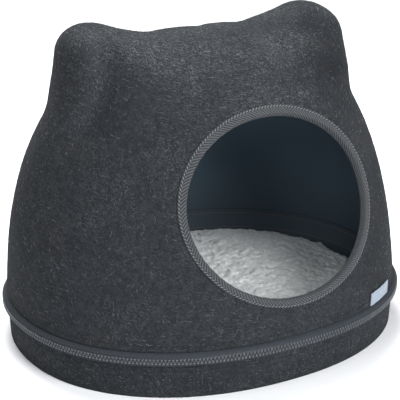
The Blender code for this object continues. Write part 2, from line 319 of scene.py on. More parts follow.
def on_mould(starts, directions):
    """Where rays that start inside the hood leave it; z counts from the hood's lower edge."""
    near, far = np.zeros(len(directions)), np.full(len(directions), RAY_REACH)
    for _ in range(HALVINGS):
        middle = (near + far) / 2
        inside = mould_value(starts + directions * middle[:, None]) < 0
        near, far = np.where(inside, middle, near), np.where(inside, far, middle)
    return starts + directions * near[:, None]


def mould_normal(points):
    """The way out of the mould, from how its value rises over a small step each way."""
    steps = np.eye(3) * NORMAL_STEP
    return unit(np.column_stack([mould_value(points + step) - mould_value(points - step)
                                 for step in steps]))


crown = on_mould(np.zeros((1, 3)), np.array([[0.0, 0.0, 1.0]]))[0]
print(f"the crown is {crown[2] + HOOD_EDGE:.3f} m above the floor")

# %% [markdown]
# ## Felt is never quite true
# Pressed felt keeps a little of the hand that stretched it: broad shallow swells, and a fine
# lumpy skin. Both are worked out from a place on the mould, so the tape and the stitches that
# lie on the felt can follow it exactly. Below each ear's tip the felt also keeps a faint ridge,
# and a shallow hollow beside it where the ear meets the front. Light and shade are also painted
# into the felt's colour along some lines on the mould, each with a soft edge: painted light on
# the ear ridges and near the crown, painted shade in the hollows beside the ears and down the right
# flank.

# %% Swells and lumps of the felt
SWELL, SWELL_SIZE = 0.0006, 0.110
LUMP, LUMP_SIZE = 0.00022, 0.0075
PAINTED_MARK_SPREAD = 1.5
UP = np.array([0.0, 0.0, 1.0])
# how far each mark rises, how wide it is, how much painted light (above 0) or painted shade (below
# 0) it gets, and the line it follows
FELT_MARKS = [
    (0.0016, 0.011, 1.6, [(-0.146, -0.033, 0.293), (-0.152, -0.041, 0.280),
                          (-0.155, -0.047, 0.256), (-0.159, -0.046, 0.235),
                          (-0.166, -0.041, 0.220)]),
    (0.0010, 0.011, 0.2, [(0.146, -0.033, 0.290), (0.155, -0.047, 0.256),
                          (0.166, -0.041, 0.220)]),
    (-0.0022, 0.012, -0.6, [(-0.127, -0.055, 0.276), (-0.140, -0.061, 0.256),
                            (-0.151, -0.058, 0.231), (-0.160, -0.050, 0.216)]),
    (-0.0020, 0.015, -1.3, [(0.107, -0.043, 0.283), (0.112, -0.058, 0.270),
                            (0.117, -0.069, 0.261), (0.115, -0.080, 0.248)]),
    (0.0, 0.012, 0.9, [(0.052, -0.046, 0.273), (0.062, -0.066, 0.259)]),
    (0.0, 0.018, -0.6, [(0.165, -0.100, 0.130), (0.146, -0.133, 0.093), (0.123, -0.161, 0.035)]),
]


def bumpy(points, size):
    """Soft noise from about -1 to 1, with swells `size` metres across."""
    return np.array([noise.fractal(Vector(p), 1.0, 2.0, 2) for p in points / size])


def near_line(points, line, width):
    """1 on the line, and falling off over some `width` on either side of it."""
    nearest = np.full(len(points), np.inf)
    for start, end in zip(line[:-1], line[1:]):
        start, run = np.array(start), np.array(end) - start
        share = np.clip((points - start) @ run / (run @ run), 0, 1)
        away = np.linalg.norm(points - start - share[:, None] * run, axis=1)
        nearest = np.minimum(nearest, away)
    return np.exp(-(nearest / width) ** 2)


def light_and_shade_marks(points):
    """How much painted light (above 0) or painted shade (below 0) the felt gets at places on the
    mould.
    """
    return sum(much * near_line(points, line, width * PAINTED_MARK_SPREAD)
               for _, width, much, line in FELT_MARKS)


def felt_face(points):
    """Puts points of the mould on the real felt's outer face, above the floor."""
    lift = SWELL * bumpy(points, SWELL_SIZE) + LUMP * bumpy(points + 3.0, LUMP_SIZE)
    for rise, width, _, line in FELT_MARKS:
        lift += rise * near_line(points, line, width)
    return points + mould_normal(points) * lift[:, None] + UP * HOOD_EDGE


print(f"the felt swells by {SWELL * 1000:.1f} mm")

# %% [markdown]
# ## The hood
# A globe is cut in half at its equator, and its open edge is pulled down in rows, which gives
# a bell of evenly spread faces. Each point then slides out along its own ray until it meets
# the mould. The felt's thickness goes inwards, because the mould's outer face is the one that
# shows.

# %% Raise the bell and lay it on the mould
AROUND, RISES, SKIRT_ROWS = 288, 132, 12
HOOD_WAIST = 0.060

deselect()
bpy.ops.mesh.primitive_uv_sphere_add(segments=AROUND, ring_count=RISES, radius=0.1)
hood = named("felt_hood")
edit(hood, (bpy.ops.mesh.bisect, dict(plane_co=(0, 0, -0.0001), plane_no=(0, 0, 1),
                                      clear_inner=True, threshold=0.00001)))
pull_edge(hood, SKIRT_ROWS, (0, 0, -0.01))

bell = points_of(hood)
skirt_low = bell[:, 2].min()
starts = np.zeros_like(bell)
starts[:, 2] = HOOD_WAIST * (1 - np.clip(bell[:, 2] / skirt_low, 0, 1))
rays = unit(bell * (1, 1, 0) + UP * np.maximum(bell[:, 2:], 0))
place_points(hood, felt_face(on_mould(starts, rays)))
edit(hood, MERGE, FACE_OUT)
print("hood faces:", len(hood.data.polygons))

# %% [markdown]
# ## The entrance
# The entrance is an oval, cut with a knife held square to the felt. Faces that reach into the
# oval are deleted, and the points left along the hole are then drawn in onto the cut line, so
# the hood keeps its even faces right up to the cut. Folded tape will cover it.

# %% Where the entrance lies
DOOR_X, DOOR_RISE, DOOR_TILT = 0.0094, 0.1142, 0.089
DOOR_WIDE, DOOR_TALL = 0.1093, 0.0902
EDGE, TAPE_LINE, ABOVE_HEM = BINDING + GAP, 0.004, 0.02
DOOR_UP = np.array([0, math.sin(DOOR_TILT), math.cos(DOOR_TILT)])
DOOR_AHEAD = np.array([0, -math.cos(DOOR_TILT), math.sin(DOOR_TILT)])


def door_at(turn, reach, depth):
    """Points round the entrance: `reach` outside its clear oval, `depth` under the felt's face."""
    turn, reach, depth = np.broadcast_arrays(turn, reach, depth)
    starts = [DOOR_X, 0, DOOR_RISE] + np.outer(np.cos(turn) * (DOOR_WIDE + reach), [1, 0, 0])
    starts = starts + np.outer(np.sin(turn) * (DOOR_TALL + reach), DOOR_UP)
    face = on_mould(starts, np.tile(DOOR_AHEAD, (len(starts), 1)))
    return felt_face(face) - mould_normal(face) * depth[:, None]


def door_oval(points):
    """Where points lie on the oval that is cut: across and up, 1 being its edge."""
    rel = points - np.array([DOOR_X, 0, DOOR_RISE + HOOD_EDGE])
    return rel[:, 0] / (DOOR_WIDE + EDGE), rel @ DOOR_UP / (DOOR_TALL + EDGE)


turns = np.linspace(0, 2 * math.pi, 2001)
door_walk = walked(door_at(turns, TAPE_LINE, 0.0))
DOOR_LENGTH = door_walk[-1]


def door_turn(share):
    """Evenly spaced along the tape, not along the angle."""
    return np.interp(np.asarray(share) * DOOR_LENGTH, door_walk, turns)


print(f"the entrance tape is {DOOR_LENGTH:.3f} m long")

# %% Cut the entrance and give the felt its thickness
skin = points_of(hood)
across, up = door_oval(skin)
in_door = (np.hypot(across, up) < 1) & (skin[:, 1] < 0)
select_faces(hood, lambda face: in_door[list(face.vertices)].any())
bpy.ops.mesh.delete(type="FACE")
bpy.ops.object.mode_set(mode="OBJECT")

faces_at_edge = np.bincount([loop.edge_index for loop in hood.data.loops],
                            minlength=len(hood.data.edges))
rim_points = {v for edge in hood.data.edges if faces_at_edge[edge.index] == 1
              for v in edge.vertices}
skin = points_of(hood)
cut_line = np.array([v for v in sorted(rim_points) if skin[v, 2] > HOOD_EDGE + ABOVE_HEM])
across, up = door_oval(skin[cut_line])
skin[cut_line] = door_at(np.arctan2(up, across), EDGE, 0.0)
place_points(hood, skin)

hood.data.materials.append(None)
hood.data.materials.append(None)
thicken(hood, FELT, -1, 50, material_offset=1)
print("points drawn onto the cut:", len(cut_line))
print("hood faces:", len(hood.data.polygons))

# %% [markdown]
# ## Painted light and shade on the felt
# A finish can't know where light and shade are painted on the felt or which way it faces on the
# mould, so both are stored on the hood's points under a name. Where the felt faces up, its finish
# paints it lighter, as painted top light.

# %% Mark where light and shade are painted on the felt
CROWN_FROM, CROWN_RUN = 0.45, 0.4


def facing_up(normals):
    """0 on the walls, rising to 1 where the felt lies nearly level."""
    return np.clip((normals[:, 2] - CROWN_FROM) / CROWN_RUN, 0, 1)


on_mould_hood = points_of(hood) - UP * HOOD_EDGE
marks = {"painted_light_and_shade": light_and_shade_marks(on_mould_hood), "crown": facing_up(mould_normal(on_mould_hood))}
for name, value in marks.items():
    store(hood.data, name, value)
    print(f"{name} from {value.min():.2f} to {value.max():.2f}")

# %% [markdown]
# ## The tray
# The tray is pressed from the same felt: a flat floor, a tight round corner and a low wall.
# A filled circle is the floor, its edge is pulled up in rows, and the rows are then set on
# the oval at their own heights.

# %% Press the tray
TRAY_AROUND, WALL_ROWS, CORNER_ROWS = 320, 10, 6
TRAY_SWELL, TRAY_SWELL_SIZE = 0.0006, 0.05

deselect()
bpy.ops.mesh.primitive_circle_add(vertices=TRAY_AROUND, radius=1, fill_type="TRIFAN")
tray = named("felt_tray")
pull_edge(tray, WALL_ROWS + CORNER_ROWS, (0, 0, 1))
pot = points_of(tray)


def tray_section(row, depth):
    """Inset and height of each row, from the floor's edge round the corner and up the wall."""
    bend = np.clip(row / CORNER_ROWS, 0, 1) * math.pi / 2
    climb = np.clip((row - CORNER_ROWS) / WALL_ROWS, 0, 1)
    inset = TRAY_FOOT_INSET + depth + TRAY_FOOT_RADIUS * (1 - np.sin(bend))
    inset = inset + (HOOD_INSET - TRAY_FOOT_INSET) * climb
    height = depth + TRAY_FOOT_RADIUS * (1 - np.cos(bend))
    return inset, height + (TRAY_TOP - TRAY_FOOT_RADIUS - depth) * climb


def tray_face(depth):
    """The pot's points on the face that lies so deep in the felt; 0 is its outer face."""
    angle = np.arctan2(pot[:, 1], pot[:, 0])
    inset, height = tray_section(pot[:, 2], depth)
    middle = np.hypot(pot[:, 0], pot[:, 1]) < 0.5
    oval = np.where(middle[:, None], 0, rim_oval(angle, inset))
    level = np.clip(height / TRAY_TOP, 0, 1)
    wobble = level * (1 - level) * 4
    bulge = wobble * TRAY_SWELL * bumpy(np.column_stack([oval, height]), TRAY_SWELL_SIZE)
    return np.column_stack([oval, height]) + rim_outward(angle) * bulge[:, None]


place_points(tray, tray_face(0.0))
edit(tray, FACE_OUT)
print("tray rows:", WALL_ROWS + CORNER_ROWS, "lowest", points_of(tray)[:, 2].min())

# %% Give the tray its thickness
# the inner face turns its corner on a round of its own, so that it never folds over itself
thicken(tray, FELT, -1, 50, use_even_offset=True)
place_points(tray, np.concatenate([tray_face(0.0), tray_face(FELT)]))
print("tray faces:", len(tray.data.polygons))

# %% [markdown]
# ## Strips of tape
# Tape is woven straight and then bent, so each tape starts as a long flat grid. The grid's own
# UV map runs along and across the tape, which is what a weave needs to follow it. The grid is
# laid on its route, its two ends are joined, and Solidify makes it as thick as the cloth.

# %% Helpers for tapes
def soft_corners(path):
    """Cuts every corner of an open path twice over, which leaves round bends."""
    path = np.array(path, float)
    for _ in range(2):
        near, far = path[:-1] * 0.75 + path[1:] * 0.25, path[:-1] * 0.25 + path[1:] * 0.75
        path = np.concatenate([path[:1], np.stack([near, far], 1).reshape(-1, 2), path[-1:]])
    return path


def path_length(path):
    return steps_along(path).sum()


def along_path(path, share):
    """The point at a share, 0 to 1, of the path's length."""
    reached = walked(path) / path_length(path)
    return np.stack([np.interp(share, reached, path[:, i]) for i in range(path.shape[1])], -1)


def tape_grid(name, columns, rows, lay):
    """A flat grid laid by `lay`, which turns shares along and across the tape into points."""
    deselect()
    bpy.ops.mesh.primitive_grid_add(x_subdivisions=columns, y_subdivisions=rows, size=1,
                                    calc_uvs=True)
    tape = named(name)
    flat = points_of(tape)
    place_points(tape, lay(flat[:, 0] + 0.5, flat[:, 1] + 0.5))
    edit(tape, MERGE, FACE_OUT)
    return tape


def scale_uv(tape, length, width):
    """Makes one UV unit a metre, so a thread has its real size."""
    layer = tape.data.uv_layers[0].data
    layer.foreach_set("uv", (read(layer, "uv", 2) * [length, width]).ravel())


def plain_grid(*grid):
    """A laid grid that needs no UV map."""
    piece = tape_grid(*grid)
    piece.data.uv_layers.remove(piece.data.uv_layers[0])
    return piece


print("tape helpers ready")

# %% [markdown]
# ## The zip's two tapes
# The upper tape is sewn inside the hood's lower edge and shows as a smooth slate band between
# the felt and the teeth. The lower one is sewn inside the tray's wall, and only a narrow lip
# of it shows. Both bend round the felt's edge.

# %% Lay the zip tapes
TAPE_COLUMNS, TAPE_ROWS = 360, 14
TAPE_BEND, TAPE_TURN, TAPE_END = 0.0014, 0.0018, 0.0090


def tape_route(side):
    """Inset and height of the tape's middle line, from the teeth to its end inside the felt."""
    felt_edge = HOOD_EDGE if side > 0 else TRAY_TOP
    start = TEETH_MIDDLE + side * (CHAIN_HALF + TAPE / 2 + GAP)
    under = felt_edge - side * (TAPE / 2 + 2 * GAP)
    inside = HOOD_INSET + FELT + TAPE
    slope = 0 if side > 0 else (TRAY_FOOT_INSET - HOOD_INSET) / (TRAY_TOP - TRAY_FOOT_RADIUS)
    return soft_corners([
        (CHAIN_DEPTH / 2, start), (CHAIN_DEPTH * 0.9, start + side * TAPE_BEND),
        (HOOD_INSET, under - side * GAP), (inside - TAPE_BEND, under),
        (inside + GAP + TAPE_TURN * slope, under + side * TAPE_TURN),
        (inside + GAP + TAPE_END * slope, under + side * TAPE_END),
    ])


def lay_zip_tape(side):
    route = tape_route(side)
    width = path_length(route)

    def lay(along, across):
        inset, height = along_path(route, across).T
        return at_rim(rim_angle(along), inset, height)

    name = "zip_tape_top" if side > 0 else "zip_tape_bottom"
    tape = tape_grid(name, TAPE_COLUMNS, TAPE_ROWS, lay)
    scale_uv(tape, RIM_LENGTH, width)
    thicken(tape, TAPE)
    print(tape.name, f"is {width * 1000:.1f} mm wide where it is laid")
    return tape, width


upper_tape, upper_width = lay_zip_tape(1)
lower_tape, lower_width = lay_zip_tape(-1)

# %% [markdown]
# ## The entrance's binding
# A herringbone tape is folded over the cut felt and stitched through. Its ribs slant one way
# near its outer edge and the other way towards the fold, which draws a row of arrow heads.
# The ribs are coarse enough to be made in the mesh: each point is lifted by the rib it is on.

# %% Fold the binding over the felt
BINDING_LEG = 0.0068
RIB_PITCH, RIB_LIFT, RIB_SPINE, RIB_SLANT = 0.0037, 0.00028, 0.0026, 1.2
RIB_COUNT, PUCKER = round(DOOR_LENGTH / RIB_PITCH), 0.00012
BINDING_COLUMNS, BINDING_ROWS = RIB_COUNT * 6, 22
half = BINDING / 2
front, back = -(2 * GAP + half), FELT + 2 * GAP + half
binding_route = soft_corners([
    (EDGE + BINDING_LEG, front), (EDGE, front), (half, front * 0.9), (half * 0.8, FELT * 0.3),
    (half * 0.8, FELT * 0.7), (half, FELT + 2 * GAP + half * 0.9), (EDGE, back),
    (EDGE + BINDING_LEG, back),
])
BINDING_WIDTH = path_length(binding_route)


def herringbone(ribs, across):
    """Rib height, 0 to 1, after so many ribs along the tape and so many metres across it."""
    lean = np.abs(across - RIB_SPINE) * RIB_SLANT / RIB_PITCH
    return 0.5 + 0.5 * np.cos(2 * math.pi * (ribs + lean))


def lay_binding(along, across):
    reach, depth = along_path(binding_route, across).T
    ahead = np.clip(across + 0.01, 0, 1)
    behind = np.clip(across - 0.01, 0, 1)
    run = along_path(binding_route, ahead) - along_path(binding_route, behind)
    out = np.column_stack([run[:, 1], -run[:, 0]]) / np.linalg.norm(run, axis=1)[:, None]
    rib = RIB_LIFT * herringbone(along * RIB_COUNT, across * BINDING_WIDTH)
    pucker = PUCKER * np.cos(2 * math.pi * along * (RIB_COUNT // 3))
    lift = rib - RIB_LIFT + pucker
    return door_at(door_turn(along), reach - out[:, 0] * lift, depth - out[:, 1] * lift)


binding = tape_grid("herringbone_binding", BINDING_COLUMNS, BINDING_ROWS, lay_binding)
scale_uv(binding, DOOR_LENGTH, BINDING_WIDTH)
thicken(binding, BINDING - 2 * RIB_LIFT)
print(f"binding {BINDING_WIDTH * 1000:.1f} mm wide with {RIB_COUNT} ribs")

# %% [markdown]
# ## One shape, many copies
# Teeth and stitches repeat hundreds of times. Each is modelled once at the origin, with X
# along the seam, Y outwards and Z up, and its copies are then joined into one mesh. A value
# stored with every copy lets a material vary from one to the next.

# %% Helper for joined copies
def joined_copies(name, model, places, outs, ups):
    """One mesh of a copy of `model` at each place, its Y facing `outs` and its Z `ups`."""
    base, count = points_of(model), len(places)
    ups = unit(ups - (ups * outs).sum(1)[:, None] * outs)
    across = np.cross(outs, ups)
    turned = (base[None, :, :1] * across[:, None] + base[None, :, 1:2] * outs[:, None]
              + base[None, :, 2:] * ups[:, None])
    points = (places[:, None] + turned).reshape(-1, 3)
    shape = [list(face.vertices) for face in model.data.polygons]
    faces = [[v + i * len(base) for v in face] for i in range(count) for face in shape]
    mesh = bpy.data.meshes.new(name)
    mesh.from_pydata(points.tolist(), [], faces)
    store(mesh, "tone", np.repeat(np.random.default_rng(7).random(count), len(base)))
    piece = new_piece(name, mesh)
    bpy.data.objects.remove(model)
    print(f"{name}: {count} copies, {len(faces)} faces")
    return piece


# %% [markdown]
# ## The zip's teeth
# Each tooth is moulded round the tape's edge: a wide foot, a narrow neck and a wider head that
# hooks between two teeth of the other row. The block starts as the foot; its inner end is
# drawn out three times, narrower, wider and then to a small tip, and its edges are rounded.
# The two rows are the same tooth, turned over and half a pitch along.

# %% Model one tooth
TOOTH_PITCH = 0.00384
TOOTH_COUNT = round(RIM_LENGTH / TOOTH_PITCH)
FOOT_WIDE, NECK_WIDE, HEAD_WIDE = 0.0021, 0.0011, 0.0015
FOOT_TALL, NECK_TALL, HEAD_TALL = 0.0013, 0.0008, 0.0008
TIP_SHARE, TIP_TALL, TOOTH_TAPER, TOOTH_EDGE = 0.55, 0.0003, 0.92, 0.00028


def rounded(piece, radius, segments, **settings):
    edges = piece.modifiers.new("round edges", "BEVEL")
    edges.width, edges.segments, edges.limit_method = radius, segments, "ANGLE"
    for name, value in settings.items():
        setattr(edges, name, value)
    apply_all(piece)


def tooth_model():
    deselect()
    bpy.ops.mesh.primitive_cube_add(size=1, scale=(FOOT_WIDE, CHAIN_DEPTH * 0.9, FOOT_TALL),
                                    location=(0, -CHAIN_DEPTH / 2, CHAIN_HALF - FOOT_TALL / 2))
    tooth = named("tooth")
    select_faces(tooth, lambda face: face.normal.z < -0.9)
    for wide, tall in ((NECK_WIDE / FOOT_WIDE, NECK_TALL), (HEAD_WIDE / NECK_WIDE, HEAD_TALL),
                       (TIP_SHARE, TIP_TALL)):
        bpy.ops.mesh.extrude_region_move(TRANSFORM_OT_translate={"value": (0, 0, -tall)})
        bpy.ops.transform.resize(value=(wide, TOOTH_TAPER, 1))
    bpy.ops.object.mode_set(mode="OBJECT")
    rounded(tooth, TOOTH_EDGE, 1)
    return tooth


# %% Close the two rows
def tooth_row(side):
    angle = rim_angle(even_shares(TOOTH_COUNT, 0.25 if side > 0 else 0.75))
    return joined_copies("teeth", tooth_model(), at_rim(angle, 0.0, TEETH_MIDDLE),
                         rim_outward(angle), UP * side)


upper_teeth, lower_teeth = tooth_row(1), tooth_row(-1)

# %% [markdown]
# The teeth grip a corded edge at each tape. Without the two edges daylight would show between
# the teeth, as it never does on a real zip. Each is a flattened ring of eight sides, and the
# two meet behind the middle of the teeth.

# %% Run the corded edges behind the teeth
CORD_DEEP, CORD_TALL, CORD_DEPTH = 0.00060, 0.00205, 0.0020


def corded_edge(side):
    def lay(along, across):
        turn = across * 2 * math.pi
        inset = CORD_DEPTH + CORD_DEEP * np.cos(turn)
        height = TEETH_MIDDLE + side * CORD_TALL + CORD_TALL * np.sin(turn)
        return at_rim(rim_angle(along), inset, height)

    return plain_grid("zip_cord", TAPE_COLUMNS, 8, lay)


teeth = joined("zip_teeth", upper_teeth, lower_teeth, corded_edge(1), corded_edge(-1))
smooth(teeth, 35)
print("teeth in all:", TOOTH_COUNT * 2)

# %% [markdown]
# ## The cushion
# The cushion is a fleece bag, filled with fibre and sewn round its side. Its CAD solid is
# shrunk a little, remeshed into small even squares, and blown up by the cloth simulation, so
# that its skin swells as a filled bag does. Afterwards the side seam is drawn in, and the
# fleece is raised in soft lumps.

# %% Fill the cushion
CUSHION_VOXEL, CUSHION_SWELL, FILL_FRAMES = 0.0036, 0.004, 20
CUSHION_START, FILL_PRESSURE, FLEECE_WEIGHT = (0.988, 0.988, 0.93), 4, 0.3

cushion = copied_node("cushion", "fleece_cushion")
middle = (cushion_low + cushion_high) / 2
centre = np.array([middle.x, middle.y, cushion_low.z])
place_points(cushion, (points_of(cushion) - centre) * CUSHION_START + centre)
remesh = cushion.modifiers.new("even squares", "REMESH")
remesh.mode, remesh.voxel_size, remesh.use_smooth_shade = "VOXEL", CUSHION_VOXEL, True
apply_all(cushion)


def fill_with_fibre(piece):
    """Blows the piece up with the cloth simulation and keeps the result as its mesh."""
    scene = bpy.context.scene
    start = points_of(piece)
    filling = piece.modifiers.new("filling", "CLOTH")
    cloth = filling.settings
    cloth.quality, cloth.mass = 5, FLEECE_WEIGHT
    cloth.use_pressure, cloth.uniform_pressure_force = True, FILL_PRESSURE
    cloth.effector_weights.gravity = 0
    filling.point_cache.frame_start, filling.point_cache.frame_end = 1, FILL_FRAMES
    for step in range(1, FILL_FRAMES + 1):
        scene.frame_set(step)
    apply_all(piece)
    scene.frame_set(1)
    moved = points_of(piece) - start
    far = np.linalg.norm(moved, axis=1)[:, None]
    place_points(piece, start + moved * np.minimum(1, CUSHION_SWELL / np.maximum(far, 1e-9)))
    return far.max()


print(f"the filling pushed the fleece out by up to {fill_with_fibre(cushion) * 1000:.1f} mm")

# %% Raise the fleece and draw in its seam
SEAM_HEIGHT, SEAM_DRAW, SEAM_REACH = 0.0265, 0.0028, 0.0035
CURL, CURL_SIZE, TUFT, TUFT_SIZE = 0.0024, 0.0150, 0.0021, 0.0066
TUFT_DRIFT, TUFT_ROUND, SETTLED_UNDER, TUFT_SEED = 0.35, 1.25, 0.012, 7
# without a seed of its own, noise_vector starts from the clock
noise.seed_set(TUFT_SEED)

softer = cushion.modifiers.new("softer folds", "SMOOTH")
softer.factor, softer.iterations = 0.5, 5
finer = cushion.modifiers.new("finer fleece", "SUBSURF")
finer.levels = finer.render_levels = 1
apply_all(cushion)
edit(cushion, FACE_OUT)


def tufts(points, size):
    """Round heads about `size` metres apart, 1 in their middles and 0 in the creases between."""
    place = points / size
    place = place + TUFT_DRIFT * np.array([noise.noise_vector(Vector(p)) for p in place])
    nearest = np.array([noise.voronoi(Vector(p))[0][0] for p in place])
    return np.clip(1 - (nearest * TUFT_ROUND) ** 2, 0, 1)


fleece, outward = points_of(cushion), read(cushion.data.vertex_normals, "vector")
steep = 1 - np.abs(outward[:, 2])
seam = np.exp(-((fleece[:, 2] - SEAM_HEIGHT) / SEAM_REACH) ** 2) * steep
lift = CURL * bumpy(fleece, CURL_SIZE) + TUFT * (tufts(fleece, TUFT_SIZE) - 0.5)
settled = np.clip((fleece[:, 2] - cushion_low.z) / SETTLED_UNDER, 0, 1)
lift = lift * settled * (1 - 0.7 * seam) - SEAM_DRAW * seam
fleece = fleece + outward * lift[:, None]
fleece[:, 2] = np.maximum(fleece[:, 2], cushion_low.z)
place_points(cushion, fleece)
smooth(cushion, 80)
print("cushion faces:", len(cushion.data.polygons), "top", fleece[:, 2].max())

# %% [markdown]
# ## The label
# A short length of satin ribbon is folded double, and its two cut ends are caught in the zip's
# seam, so only a blank tab shows. The fold is at its top, and the tab bows a little off the felt.

# %% Fold the ribbon
label_low, label_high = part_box("label_tab")
LABEL_START, LABEL_END = math.radians(-56.5), math.radians(-44.0)
LABEL_RISE, RIBBON = label_high.z - label_low.z, 0.00040
LABEL_WIDTH, LABEL_BOW, LABEL_REACH = 0.045, 0.0008, 0.12
LABEL_TOP = LABEL_RISE - RIBBON
ribbon_route = soft_corners([
    (0.00058, -0.0002), (0.00062, LABEL_TOP * 0.5), (0.00068, LABEL_TOP * 0.93),
    (0.00050, LABEL_TOP), (0.00030, LABEL_TOP), (0.00014, LABEL_TOP * 0.93),
    (0.00014, LABEL_TOP * 0.5), (0.00012, -0.0002),
])


def lay_label(along, across):
    out, rise = along_path(ribbon_route, across).T
    angle = LABEL_START + (LABEL_END - LABEL_START) * along
    outward = rim_outward(angle)
    at = rim_oval(angle, HOOD_INSET - GAP) - outward[:, :2] * LABEL_REACH
    face = felt_face(on_mould(np.column_stack([at, np.maximum(rise, 0.0)]), outward))
    bow = LABEL_BOW * np.sin(math.pi * np.clip(rise / LABEL_TOP, 0, 1) * 0.5) ** 2
    return face + outward * (out + bow + RIBBON / 2 + GAP)[:, None]


label = tape_grid("ribbon_tab", 60, 28, lay_label)
scale_uv(label, LABEL_WIDTH, 2 * LABEL_RISE)
thicken(label, RIBBON)
print("label", [round(v * 1000, 1) for v in (label_high - label_low)], "mm")

# %% [markdown]
# ## The slider and its pull
# The slider is cast metal and is parked at the middle of the back. Its solids already have
# the right shape, so each is copied, its loose triangles are merged back into flat faces, and
# its edges are rounded as a casting's are. The copies stand for the originals, which are hidden.

# %% Round the slider and the pull
def rounded_copy(node, name, radius):
    piece = copied_node(node, name)
    edit(piece, (bpy.ops.mesh.dissolve_limited, dict(angle_limit=math.radians(3))))
    rounded(piece, radius, 3, angle_limit=math.radians(25))
    smooth(piece, 30)
    print(name, "has", len(piece.data.polygons), "faces")
    return piece


slider = rounded_copy("zip_slider", "zip_slider_cast", 0.00035)
pull = rounded_copy("zip_pull", "zip_pull_cast", 0.00030)

# %% [markdown]
# ## Sewing
# Lockstitch shows on the outside as a row of short, slightly sunk threads. The hood and the
# tray are each sewn to their zip tape, a few millimetres from the felt's edge, with a thread of
# their own colour. The binding is sewn with a pale thread near its outer edge.

# %% Model one stitch
STITCH_LONG, STITCH_ROUND, STITCH_PITCH, STITCH_BLUNT = 0.0030, 0.00032, 0.0038, 0.6
HEM_RISE = 0.0062


def stitch_model(length, thickness):
    deselect()
    bpy.ops.mesh.primitive_uv_sphere_add(segments=6, ring_count=6, radius=0.5)
    stitch = named("stitch")
    x, y, z = points_of(stitch).T
    ends = np.sign(z) * np.abs(z * 2) ** STITCH_BLUNT / 2
    place_points(stitch, np.column_stack([ends * length, x * thickness * 2, y * thickness * 2]))
    edit(stitch, FACE_OUT)
    return stitch


# %% Sew the hood and the tray to the zip
stitch_count = round(RIM_LENGTH / STITCH_PITCH)
stitch_angle = rim_angle(even_shares(stitch_count))
level = np.column_stack([np.cos(stitch_angle), np.sin(stitch_angle), np.zeros(stitch_count)])
hem = on_mould(np.tile([0, 0, HEM_RISE], (stitch_count, 1)), level)
hood_stitches = joined_copies("hem_stitches", stitch_model(STITCH_LONG, STITCH_ROUND),
                              felt_face(hem), mould_normal(hem), UP)

hem_height = TRAY_TOP - HEM_RISE
climb = (hem_height - TRAY_FOOT_RADIUS) / (TRAY_TOP - TRAY_FOOT_RADIUS)
hem_inset = TRAY_FOOT_INSET + (HOOD_INSET - TRAY_FOOT_INSET) * climb
tray_stitches = joined_copies("tray_stitches", stitch_model(STITCH_LONG, STITCH_ROUND),
                              at_rim(stitch_angle, hem_inset, hem_height),
                              rim_outward(stitch_angle), UP)

# %% Stitch the binding near its edge
BINDING_STITCH, BINDING_THREAD, BINDING_SEAM = 0.0019, 0.00034, 0.0013
seam_turn, reach = door_turn(even_shares(RIB_COUNT)), EDGE + BINDING_LEG - BINDING_SEAM
seam_points = door_at(seam_turn, reach, -EDGE * 1.02)
along_seam = unit(np.roll(seam_points, -1, 0) - np.roll(seam_points, 1, 0))
outside = unit(door_at(seam_turn, reach, -0.004) - door_at(seam_turn, reach, 0.0))
binding_stitches = joined_copies("binding_stitches", stitch_model(BINDING_STITCH, BINDING_THREAD),
                                 seam_points, outside, np.cross(along_seam, outside))

# %% [markdown]
# ## The zip guard
# Inside, a plain strip of tape hangs behind the teeth, so that the cat's claws and the fleece
# keep clear of them. It is sewn to the hood above and hemmed below, both with a rusty thread.

# %% Hang the zip guard
GUARD, GUARD_OVER, GUARD_UNDER, GUARD_LEAN = 0.0008, 0.0055, 0.0036, 0.0006
GUARD_STITCH, GUARD_THREAD, GUARD_SUNK = 0.0026, 0.00036, 0.00008
UPPER_ROW, LOWER_ROW = HOOD_EDGE + 0.0027, TRAY_TOP - 0.0014
guard_inset = HOOD_INSET + FELT + 1.5 * TAPE + 2.5 * GAP + GUARD / 2
guard_top, guard_foot = HOOD_EDGE + GUARD_OVER, TRAY_TOP - GUARD_UNDER


def guard_at(height):
    """Inset of the guard's middle line: it leans in a little as it hangs."""
    return guard_inset + GUARD_LEAN * (guard_top - height) / (guard_top - guard_foot)


def lay_guard(along, across):
    height = guard_top + (guard_foot - guard_top) * across
    return at_rim(rim_angle(along), guard_at(height), height)


guard = tape_grid("zip_guard", TAPE_COLUMNS, 8, lay_guard)
GUARD_WIDTH = guard_top - guard_foot
scale_uv(guard, RIM_LENGTH, GUARD_WIDTH)
thicken(guard, GUARD)


def guard_stitches(name, height):
    places = at_rim(stitch_angle, guard_at(height) + GUARD / 2 + GUARD_SUNK, height)
    return joined_copies(name, stitch_model(GUARD_STITCH, GUARD_THREAD), places,
                         -rim_outward(stitch_angle), UP)


guard_seam = guard_stitches("guard_seam", UPPER_ROW)
guard_hem = guard_stitches("guard_hem", LOWER_ROW)
print(f"guard {GUARD_WIDTH * 1000:.1f} mm wide")

# %% [markdown]
# ## Loose fibres
# Felt is never quite smooth: single pale fibres lie on it and stand a little proud. Four bent
# fibres are modelled, thin tubes that close to a point at both ends, and their copies are strewn
# over the hood and the tray. Neighbours lie much the same way, as if combed. More of them lie
# where the felt faces up, on its crown and its ears, as painted top light, more along the lit
# marks such as the ears' ridges, and fewer in painted shade.

# %% Model one fibre
FIBRE_ROUND, COMBED_SIZE, CLUMP_SIZE = 0.00011, 0.09, 0.016
FIBRE_SHAPES = [(0.0062, 0.12, 0.016), (0.0045, -0.20, 0.022), (0.0035, 0.05, 0.030),
                (0.0026, 0.24, 0.020)]


